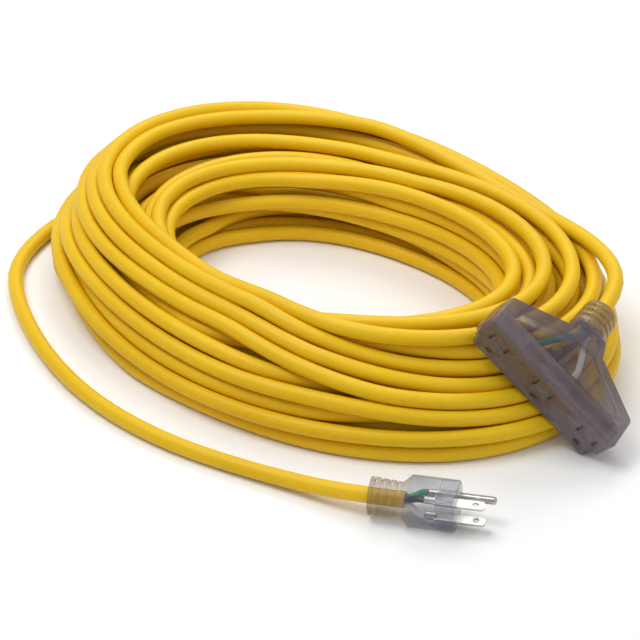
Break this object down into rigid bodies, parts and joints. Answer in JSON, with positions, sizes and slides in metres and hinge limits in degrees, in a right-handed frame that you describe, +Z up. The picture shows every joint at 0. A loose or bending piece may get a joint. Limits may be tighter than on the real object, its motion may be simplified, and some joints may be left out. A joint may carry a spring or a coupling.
{
  "type": "extension cord",
  "caption": "Coiled heavy-duty yellow extension cord with a clear moulded three-prong plug and a T-shaped smoky clear tap with a row of outlets.",
  "frame": {"origin": "on the floor under the centre of the whole assembly's bounding box", "axes": "+Z up; +Y runs from the plug's side, at the front, to the far side of the coil; +X to the right, where the tap leans on the coil"},
  "size_m": [0.3974, 0.42, 0.0904],
  "materials": {
    "jacket": "satin yellow PVC",
    "clear_pvc": "clear, slightly grey",
    "clear_core": "cloudy clear",
    "nickel": "nickel plate",
    "black_insulation": "satin",
    "white_insulation": "satin",
    "green_insulation": "satin",
    "copper": "bare copper",
    "smoky_pvc": "smoky clear",
    "insert_plastic": "smoky, cloudy",
    "bus_brass": "stamped brass"
  },
  "bodies": {
    "root": {"cord_coil": "jacket", "cord_tail": "jacket", "cord_lead": "jacket", "plug_body": "clear_pvc", "plug_core": "clear_core", "plug_line_blade": "nickel", "plug_neutral_blade": "nickel", "plug_ground_pin": "nickel", "plug_black_wire": "black_insulation", "plug_white_wire": "white_insulation", "plug_green_wire": "green_insulation", "plug_copper_ends": "copper", "tap_body": "smoky_pvc", "tap_insert": "insert_plastic", "tap_cover": "insert_plastic", "tap_line_bus": "bus_brass", "tap_neutral_bus": "bus_brass", "tap_ground_bus": "bus_brass", "tap_black_wire": "black_insulation", "tap_white_wire": "white_insulation", "tap_green_wire": "green_insulation", "tap_copper_ends": "copper"}
  },
  "joints": []
}
